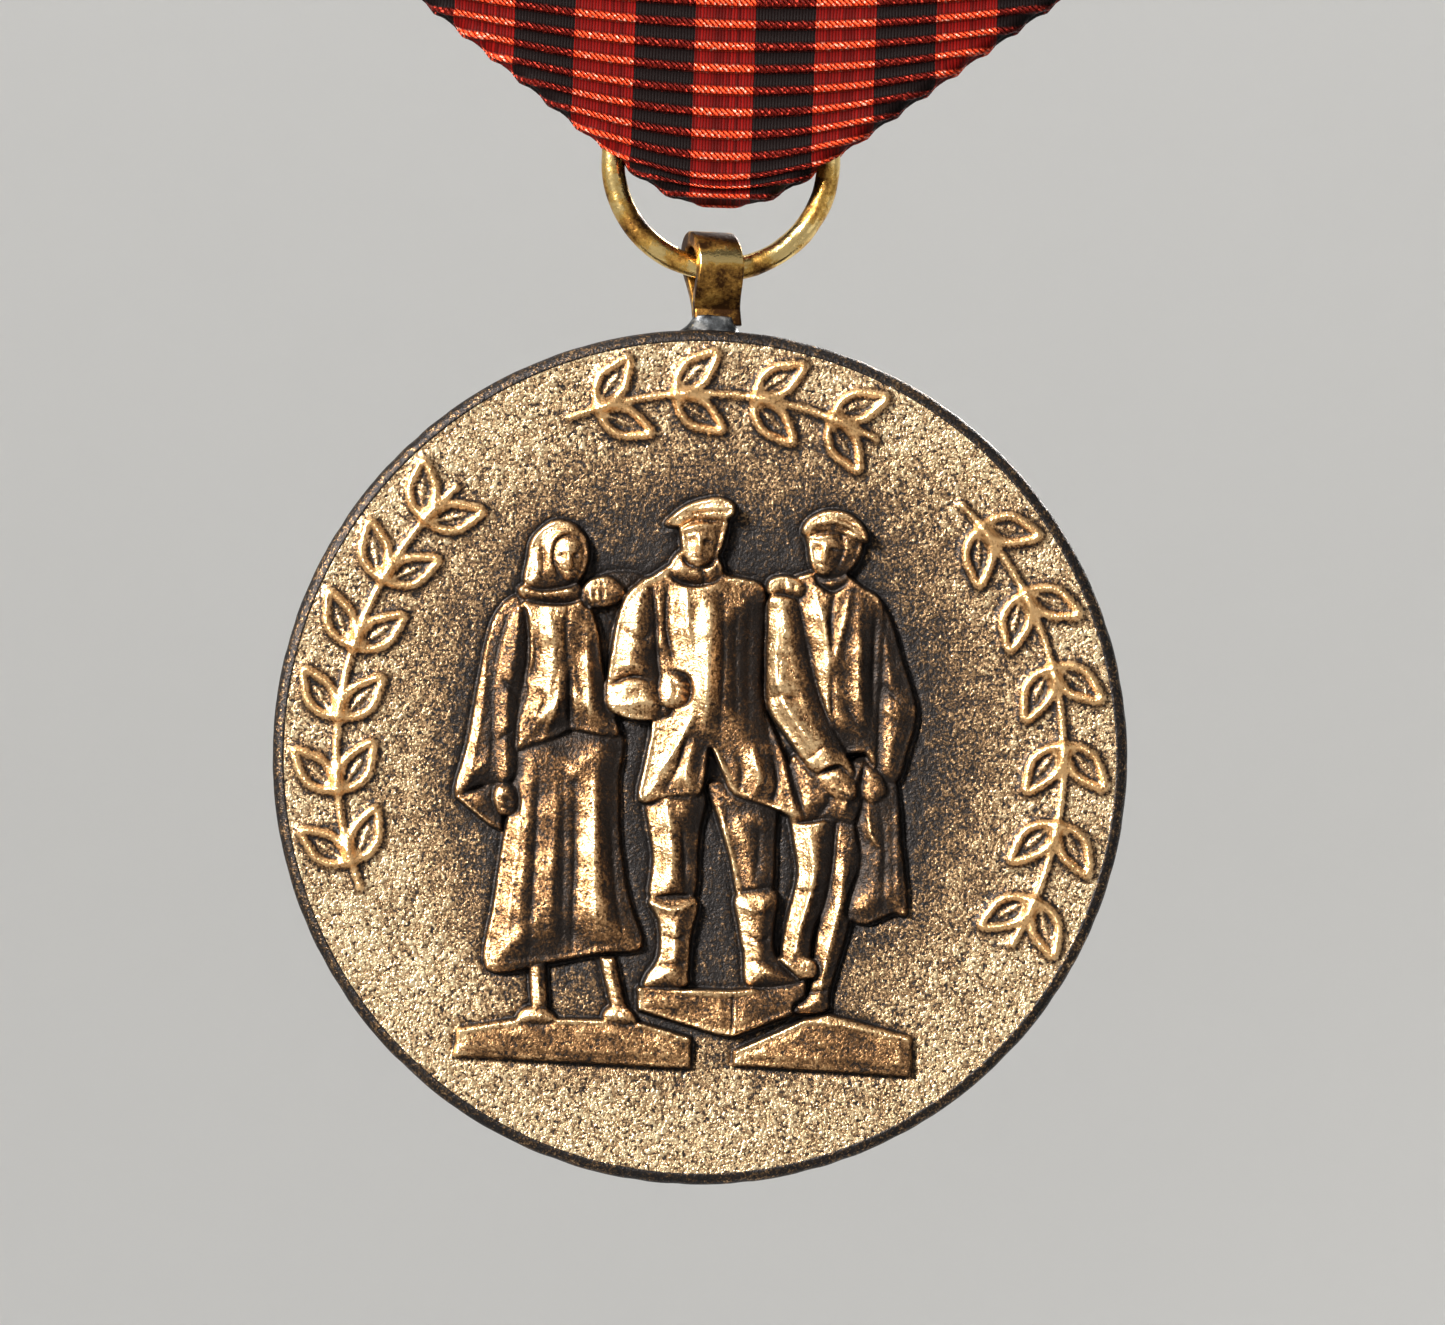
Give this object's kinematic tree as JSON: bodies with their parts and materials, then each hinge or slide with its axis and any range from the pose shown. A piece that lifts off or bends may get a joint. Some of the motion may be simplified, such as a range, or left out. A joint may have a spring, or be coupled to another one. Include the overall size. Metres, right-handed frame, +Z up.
{
  "type": "medal",
  "caption": "Struck bronze medal with standing figures in relief, hung by a strip eye and wire ring from a folded, pointed striped ribbon with a bar brooch sewn behind.",
  "frame": {"origin": "middle of the brooch bar's rear face, where the medal is held against the garment", "axes": "+Z up along the ribbon, +Y to the rear into the garment, +X to the right as the front is looked at"},
  "size_m": [0.038, 0.0076, 0.0883],
  "materials": {
    "ribbon": "ribbed grosgrain silk in narrow red and black stripes",
    "bronze": "dark patinated bronze, rubbed bright on the high points and edge",
    "gilt_wire": "worn gilt wire",
    "gilt_strip": "worn gilt strip, darkened in its folds",
    "solder": "dull silvery soft solder",
    "steel": "plated steel, lightly aged",
    "backing": "plain thin sheet, hidden in the ribbon",
    "thread": "waxed sewing thread"
  },
  "bodies": {
    "ribbon_mount": {"ribbon_front": "ribbon", "ribbon_rear": "ribbon", "ribbon_front_left_flap": "ribbon", "ribbon_front_right_flap": "ribbon", "ribbon_rear_left_flap": "ribbon", "ribbon_rear_right_flap": "ribbon", "ribbon_top_fold": "ribbon", "backing_plate": "backing", "pin_bar": "steel", "hinge_rivet": "steel", "needle_catch": "steel", "bar_stitch_left": "thread", "bar_stitch_middle": "thread", "bar_stitch_right": "thread"},
    "needle": {"needle": "steel"},
    "ribbon_tip": {"ribbon_tip_front": "ribbon", "ribbon_tip_rear": "ribbon", "ribbon_tip_fold": "ribbon"},
    "ring": {"suspension_ring": "gilt_wire"},
    "medal": {"medal_disc": "bronze", "suspension_eye": "gilt_strip", "solder_bead": "solder"}
  },
  "joints": [
    {"name": "tip_flex", "type": "hinge", "parent": "ribbon_mount", "child": "ribbon_tip", "pos_m": [0, -0.0024, -0.029], "axis": [1, 0, 0], "range_deg": [-30, 30]},
    {"name": "ring_turn", "type": "hinge", "parent": "ribbon_tip", "child": "ring", "pos_m": [0, -0.0022, -0.03485], "axis": [0, 1, 0], "range_deg": [-20, 20]},
    {"name": "medal_swing", "type": "hinge", "parent": "ring", "child": "medal", "pos_m": [0, -0.0022, -0.0394], "axis": [1, 0, 0], "range_deg": [-105, 105]},
    {"name": "needle_open", "type": "hinge", "parent": "ribbon_mount", "child": "needle", "pos_m": [-0.013, 0.0019, 0], "axis": [0, 0, 1], "range_deg": [0, 100]}
  ]
}
